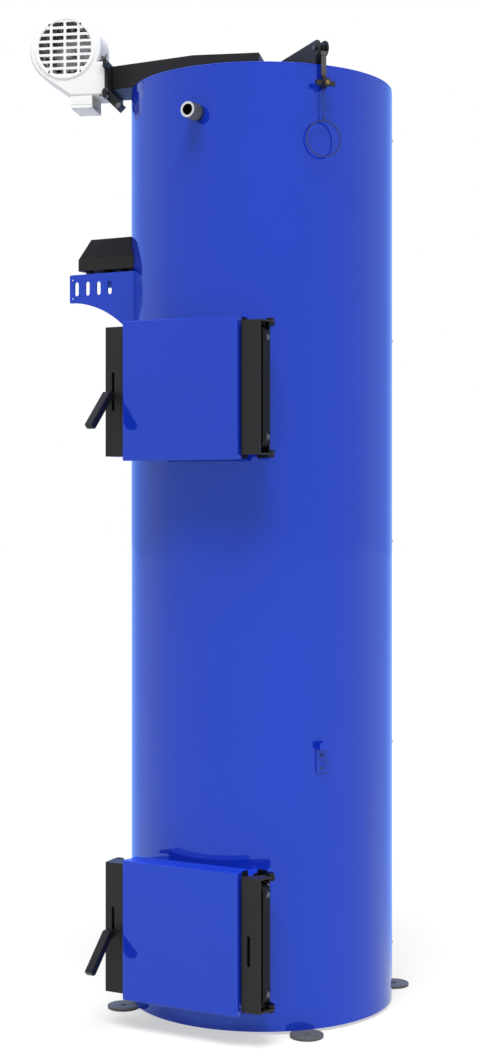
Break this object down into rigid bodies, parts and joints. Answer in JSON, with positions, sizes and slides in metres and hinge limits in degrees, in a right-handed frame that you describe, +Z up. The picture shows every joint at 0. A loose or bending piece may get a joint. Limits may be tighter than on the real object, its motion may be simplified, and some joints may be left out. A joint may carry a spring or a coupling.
{
  "type": "solid fuel boiler",
  "caption": "Tall round solid fuel boiler with an upper and a lower door, a draught fan on a duct and a pulley arm.",
  "frame": {"origin": "on the floor under the middle of the round body, at the centre of the four anchor holes", "axes": "+Z up, -Y towards the doors, +X to the right of someone facing the doors"},
  "size_m": [0.7635, 0.8232, 2.1285],
  "materials": {
    "blue_enamel": "gloss",
    "boiler_steel": "matt",
    "dark_steel": "satin",
    "bright_steel": "satin",
    "black_coating": "satin",
    "white_coating": "satin",
    "black_plastic": "matt",
    "seal_rope": "woven",
    "insulating_board": "matt"
  },
  "bodies": {
    "root": {"base_plate": "blue_enamel", "water_jacket": "boiler_steel", "outer_casing": "blue_enamel", "casing_lid": "blue_enamel", "feet": "dark_steel", "supply_nipple": "bright_steel", "return_nipple": "bright_steel", "sensor_socket": "bright_steel", "flue_spigot": "boiler_steel", "side_bracket": "blue_enamel", "control_box": "black_coating", "air_duct": "black_coating", "duct_flange": "black_coating", "fan_scroll": "white_coating", "fan_grille": "white_coating", "fan_motor": "dark_steel", "fan_foot": "white_coating", "fan_wing_bolts": "black_plastic", "fan_clamp_strap": "black_coating", "pulley_arm": "black_coating", "cable_strap": "dark_steel", "cable_clamp": "black_plastic", "pull_cable": "bright_steel", "pull_ring": "bright_steel", "ring_hook": "blue_enamel", "lower_door_neck": "blue_enamel", "lower_door_hinge": "dark_steel", "lower_latch_keeper": "dark_steel", "upper_door_neck": "blue_enamel", "upper_door_hinge": "dark_steel", "upper_latch_keeper": "dark_steel"},
    "impeller": {"fan_impeller": "bright_steel"},
    "pulley": {"pulley_wheel": "dark_steel"},
    "lower_door": {"lower_door_leaf": "black_coating", "lower_door_seal": "seal_rope", "lower_door_liner": "insulating_board", "lower_door_cover": "blue_enamel", "lower_latch_channel": "black_coating", "lower_hinge_channel": "black_coating"},
    "lower_lever": {"lower_handle": "black_coating"},
    "upper_door": {"upper_door_leaf": "black_coating", "upper_door_seal": "seal_rope", "upper_door_liner": "insulating_board", "upper_door_cover": "blue_enamel", "upper_latch_channel": "black_coating", "upper_hinge_channel": "black_coating"},
    "upper_lever": {"upper_handle": "black_coating"}
  },
  "joints": [
    {"name": "lower_door_hinge_turn", "type": "hinge", "parent": "root", "child": "lower_door", "pos_m": [0.175, -0.296, 0.201], "axis": [0, 0, 1], "range_deg": [0, 110]},
    {"name": "lower_handle_lift", "type": "hinge", "parent": "lower_door", "child": "lower_lever", "pos_m": [-0.162, -0.316, 0.191], "axis": [-1, 0, 0], "range_deg": [0, 25]},
    {"name": "upper_door_hinge_turn", "type": "hinge", "parent": "root", "child": "upper_door", "pos_m": [0.175, -0.296, 1.2895], "axis": [0, 0, 1], "range_deg": [0, 110]},
    {"name": "upper_handle_lift", "type": "hinge", "parent": "upper_door", "child": "upper_lever", "pos_m": [-0.162, -0.316, 1.2795], "axis": [-1, 0, 0], "range_deg": [0, 25]},
    {"name": "impeller_spin", "type": "hinge", "parent": "root", "child": "impeller", "pos_m": [-0.39923, -0.13981, 2.049], "axis": [0.3305, -0.9438, 0], "continuous": true},
    {"name": "pulley_spin", "type": "hinge", "parent": "root", "child": "pulley", "pos_m": [0.2218, -0.16593, 1.979], "axis": [0.599, 0.8007, 0], "continuous": true}
  ]
}
